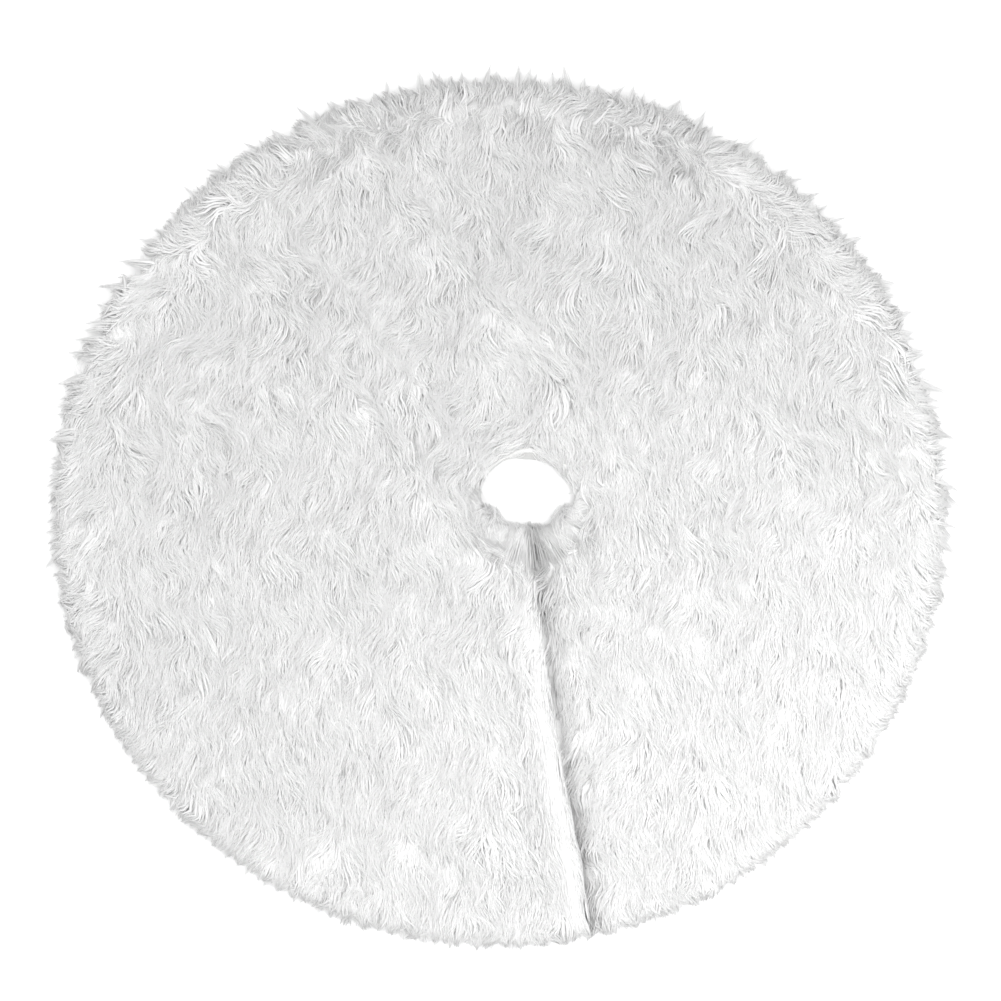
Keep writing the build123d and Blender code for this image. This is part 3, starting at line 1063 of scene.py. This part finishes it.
def paint_fold_highlight(ob, material):
    """The tape's fold, which stands highest, gets a lighter copy of the satin as a painted highlight; its
    wall keeps the plain satin.
    """
    ob.data.materials.append(material)
    for face in ob.data.polygons:
        middle = face.center
        if middle.z > 4 * MM and length(np.array(middle[:2])) > HOLE_R + 0.2 * MM:
            face.material_index = 1


# ---- stitches ----

# Along one stitch: its place, its thickness, and how far it sinks into the cloth above.
STITCH = np.array([(0, 0.45, 1), (0.18, 0.95, 0.25), (0.5, 1, 0), (0.82, 0.95, 0.25), (1, 0.45, 1)])
STITCH_SIDES = 6
STITCH_HALF_WIDE = 0.33 * MM
STITCH_SLANT = 0.12


def stitches(name, node, line, pitch, where, thread):
    """A row of separate stitches along a plan line, each a bar whose ends sink into the cloth above."""
    low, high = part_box(node)
    run = np.concatenate([[0], np.cumsum(length(np.diff(line, axis=0)))])
    count = max(2, int(run[-1] / pitch))
    pitch = run[-1] / count
    share, swell, sink = STITCH.T
    at = (np.arange(count) + 0.14)[:, None] * pitch + share * pitch * 0.72
    p = np.stack([np.interp(at, run, line[:, k]) for k in (0, 1)], -1)
    way = unit(p[:, -1:] - p[:, :1])
    side = quarter_turn(way)
    p = p + side * (share - 0.5)[:, None] * pitch * STITCH_SLANT
    half_high = (high.z - low.z) * 0.42
    mid = low.z + half_high + (high.z - low.z - 2 * half_high) * sink
    around = np.linspace(0, 2 * math.pi, STITCH_SIDES, endpoint=False)
    wide = (swell[:, None] * STITCH_HALF_WIDE * np.cos(around))[..., None]
    plan = p[:, :, None] + side[:, :, None] * wide
    z = np.broadcast_to(mid[:, None] + swell[:, None] * half_high * np.sin(around), plan.shape[:3])
    points = np.concatenate([plan, z[..., None]], -1).reshape(-1, 3)
    each = len(STITCH) * STITCH_SIDES
    faces = [face for i in range(count) for face in ring_faces(len(STITCH), STITCH_SIDES, i * each)]
    dress(add_piece(name, points, faces), thread, where, node)


def ring_line(radius, centre_is_rim, start, end):
    angles = np.linspace(start, end, 400)
    r = ray_to_rim(angles, radius) if centre_is_rim else np.full_like(angles, radius)
    return way_at(angles) * r[:, None]


def straight_line(node):
    """The middle line of a long thread node."""
    low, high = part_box(node)
    x = (low.x + high.x) / 2
    return np.array([(x, high.y), (x, low.y)])


def outline_line(node):
    """The rounded rectangle of a closure tape's stitching."""
    low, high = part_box(node)
    inset = 0.35 * MM
    x0, x1, y0, y1 = low.x + inset, high.x - inset, low.y + inset, high.y - inset
    corner = 1.2 * MM
    return np.array([
        (x0 + corner, y0), (x1 - corner, y0), (x1, y0 + corner), (x1, y1 - corner), (x1 - corner, y1),
        (x0 + corner, y1), (x0, y1 - corner), (x0, y0 + corner), (x0 + corner, y0),
    ])


TAPES = ("inner", "middle", "outer")


def make_stitches():
    """Every seam's thread, as separate stitches in the place of its CAD node."""
    thread = thread_material()
    hole_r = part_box("hole_thread_skirt")[1].x - 0.35 * MM
    rim_r = LINING_R - 4.35 * MM
    seam_far = 0.425                        # about where the rim's seam meets the slit
    clear_of_strips = (17 * MM, -48 * MM)   # x where that seam starts, past the underlap and the facing
    for (body, (start, end), where), clear in zip(HALVES, clear_of_strips):
        line = ring_line(rim_r, True, start + math.asin(clear / seam_far), end)
        stitches(f"rim_stitches_{body}", f"rim_thread_{body}", line, 4.4 * MM, where, thread)
        line = ring_line(hole_r, False, start + math.copysign(0.12, clear), end)
        stitches(f"hole_stitches_{body}", f"hole_thread_{body}", line, 3.4 * MM, where, thread)
    for name, node, pitch, where in (
        ("facing_stitches", "facing_thread_flap", 3.6 * MM, "fold"),
        ("placket_stitches", "placket_thread_skirt", 3.6 * MM, "skirt"),
        ("label_stitches", "label_thread", 2.2 * MM, "flap"),
    ):
        stitches(name, node, straight_line(node), pitch, where, thread)
    for kind, body in (("hook", "flap"), ("loop", "skirt")):
        for part in TAPES:
            node = f"{kind}_thread_{part}"
            stitches(f"{kind}_stitches_{part}", node, outline_line(node), 2.6 * MM, body, thread)


# ---- hook-and-loop tapes and label ----

# A hook's points: how far out, and how far down.
HOOK = ((0, -0.1), (0.02, 0.35), (0.10, 0.75), (0.35, 0.97), (0.62, 0.86), (0.74, 0.62), (0.70, 0.48))


def tape_base(name, node, low_z, high_z):
    """A closure tape's woven base with rounded corners and selvedges."""
    low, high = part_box(node)
    middle = np.array([low.x + high.x, low.y + high.y]) / 2
    corner = 2.0 * MM
    inner = np.array([high.x - low.x, high.y - low.y]) / 2 - corner
    plan = []
    for sign, turn in (((1, 1), 0), ((-1, 1), 90), ((-1, -1), 180), ((1, -1), 270)):
        for step in range(6):
            a = math.radians(turn + step * 18)
            plan.append(middle + inner * sign + way_at(a) * corner)
    plan = np.array(plan)
    rings = []
    for inset, share in ((0.35, 0.0), (0.0, 0.3), (0.0, 0.7), (0.35, 1.0)):
        p = plan - unit(plan - middle) * inset * MM
        rings.append(np.column_stack([p, np.full(len(p), low_z + (high_z - low_z) * share)]))
    return skin(name, np.array(rings))


def hook_paths(node, rng):
    """Rows of small hooks that stand down from the tape and curl over to either side."""
    low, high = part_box(node)
    top, reach = high.z - 0.42 * MM, high.z - low.z - 0.42 * MM
    x, y = grid_on(low, high, 1.35 * MM, 1.7 * MM)
    n = len(x)
    way = np.where(np.arange(n) % 2 == 0, 1.0, -1.0)
    path = np.zeros((n, len(HOOK), 3))
    for k, (out, down) in enumerate(HOOK):
        path[:, k, 0] = x + way * out * MM * 0.8
        path[:, k, 1] = y + rng.normal(0, 0.02, n) * MM
        path[:, k, 2] = top - down * reach
    return path


def loop_paths(node, rng):
    """Small loops at random angles that stand up from the tape and come down again."""
    low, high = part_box(node)
    foot, reach = low.z + 0.36 * MM, high.z - low.z - 0.42 * MM
    x, y = grid_on(low, high, 1.1 * MM, 1.1 * MM)
    x = x + rng.uniform(-0.4, 0.4, len(x)) * MM
    y = y + rng.uniform(-0.4, 0.4, len(x)) * MM
    turn = rng.uniform(0, 2 * math.pi, len(x))
    wide = rng.uniform(0.5, 0.9, len(x)) * MM
    tall = reach * rng.uniform(0.6, 1.0, len(x))
    path = np.zeros((len(x), 7, 3))
    for k in range(7):
        a = math.pi * k / 6
        path[:, k, 0] = x - np.cos(a) * wide * np.cos(turn)
        path[:, k, 1] = y - np.cos(a) * wide * np.sin(turn)
        path[:, k, 2] = foot + np.sin(a) * tall
    return path


def grid_on(low, high, step_x, step_y):
    """Points of a staggered grid inside a tape's stitching."""
    margin = 1.0 * MM
    xs = np.arange(low.x + margin, high.x - margin, step_x)
    ys = np.arange(low.y + margin, high.y - margin, step_y)
    x, y = np.meshgrid(xs, ys)
    x = x + (np.arange(len(ys)) % 2)[:, None] * step_x * 0.5
    return x.ravel(), y.ravel()


def make_tapes():
    """Each closure tape's woven base, and the hooks or loops that stand on it."""
    rng = np.random.default_rng(12)
    weave = woven_material("tape_weave", 0.5 * MM, (0.58, 0.58, 0.57), (0.70, 0.70, 0.69), 0.7, 0.1)
    for kind, body, under, paths, look, half in (
        ("hook", "flap", "facing", hook_paths, hook_material(), 0.10 * MM),
        ("loop", "skirt", "placket", loop_paths, loop_material(), 0.06 * MM),
    ):
        for part in TAPES:
            node = f"{kind}_tape_{part}"
            low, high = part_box(node)
            ends = (high.z - 0.4 * MM, high.z) if kind == "hook" else (low.z, low.z + 0.35 * MM)
            base = tape_base(f"{kind}_base_{part}", node, *ends)
            path = paths(node, rng)
            shade = rng.uniform(0, 1, len(path))
            nap = fibre_mesh(f"{kind}s_{part}", path, np.full(len(path), half), shade, rng, ROUND)
            dress(nap, look, body)
            sew(base, weave, body, node)


def make_label():
    """A blank woven label folded in two on the lining, with its folded end a little open."""
    low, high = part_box("care_label")
    x0, x1 = low.x / MM, high.x / MM
    outline = fine_outline([
        (x1, 0.80), (x1, 1.0), (x0 + 1.5, 1.0), (x0 + 0.4, 0.93), (x0, 0.72), (x0 + 0.3, 0.48),
        (x0 + 1.5, 0.40), (x1 - 2.5, 0.40), (x1 - 2.5, 0.60), (x0 + 2.0, 0.62), (x0 + 1.4, 0.70),
        (x0 + 2.0, 0.78),
    ], 2.0)
    y = np.linspace(high.y, low.y, 24)[:, None]
    x, z = outline[:, 0][None], outline[:, 1][None]
    curl = 0.08 * MM * np.sin((y - low.y) / (high.y - low.y) * math.pi * 2.3) * smooth(0, 0.03, high.x - x)
    ob = skin("label", np.stack(np.broadcast_arrays(x, y, z + curl), -1))
    weave = woven_material("label_satin", 0.35 * MM, 0.60, 0.72, 0.4, 0.2)
    sew(ob, weave, "flap", "care_label")


def make_sewn_pieces():
    lining = woven_material("lining_weave", 0.7 * MM, (0.52, 0.52, 0.515), (0.66, 0.66, 0.655), 0.75, 0.1)
    satin = woven_material("binding_satin", 0.4 * MM, (0.55, 0.55, 0.545), (0.66, 0.66, 0.655), 0.42, 0.15)
    # a lighter copy of the binding's satin, for the painted highlight on its fold
    highlight_satin = woven_material("binding_fold", 0.4 * MM, (0.80, 0.80, 0.79), (0.90, 0.90, 0.89), 0.42, 0.15)
    for half in HALVES:
        make_lining(*half, lining)
    for half in HALVES:
        make_binding(*half, satin, highlight_satin)
    make_facing(satin)
    make_placket(satin)
    make_tapes()
    make_label()
    make_stitches()


# ---- stage ----


def make_floor():
    half = 6.0
    me = bpy.data.meshes.new("floor")
    corners = [(-half, -half, 0), (half, -half, 0), (half, half, 0), (-half, half, 0)]
    me.from_pydata(corners, [], [(0, 1, 2, 3)])
    m, nt, p = new_material("studio_floor")
    feed(nt, p, {"Base Color": (0.93, 0.93, 0.93, 1), "Roughness": 0.9, "Specular IOR Level": 0.1})
    me.materials.append(m)
    add_object("floor", me)


def make_light():
    scene = bpy.context.scene
    scene.view_settings.view_transform = "Standard"
    scene.cycles.diffuse_bounces = 10
    world = bpy.data.worlds.new("studio")
    scene.world = world
    world.use_nodes = True
    feed(world.node_tree, world.node_tree.nodes["Background"], {"Color": (1, 1, 1, 1), "Strength": 1.275})
    pool("key", (0.75, -0.75, 2.2), (0.39, -0.34, 0), 138)
    pool("back", (-0.5, 0.4, 2.2), (-0.40, 0.24, 0), 30)
    pool("front", (-0.1, -0.95, 2.2), (-0.22, -0.52, 0), 56)


def stand(ob, place, way):
    """Puts a lamp or the camera at a place, facing along a way."""
    ob.location = place
    ob.rotation_mode = "QUATERNION"
    ob.rotation_quaternion = way.to_track_quat("-Z", "Y")


def pool(name, place, aim, energy):
    """A wide, soft-edged pool of light from above."""
    lamp = bpy.data.lights.new(name, "SPOT")
    lamp.shadow_soft_size = 0.4
    lamp.spot_size = math.radians(30)
    lamp.spot_blend = 1.0
    lamp.energy = energy
    stand(add_object(name, lamp), Vector(place), Vector(aim) - Vector(place))


def make_camera():
    data = bpy.data.cameras.new("camera")
    data.lens = VIEW_LENS
    data.sensor_width = 36.0
    data.clip_start = 0.05
    data.clip_end = 30
    level = math.cos(VIEW_ELEVATION)
    back = Vector((
        math.sin(VIEW_AZIMUTH) * level,
        -math.cos(VIEW_AZIMUTH) * level,
        math.sin(VIEW_ELEVATION),
    ))
    ob = add_object("camera", data)
    stand(ob, VIEW_TARGET + back * VIEW_DISTANCE, -back)
    bpy.context.scene.camera = ob


make_camera()
make_light()
make_floor()
cloth = make_fur_cloth()
pile = make_pile()
make_sewn_pieces()
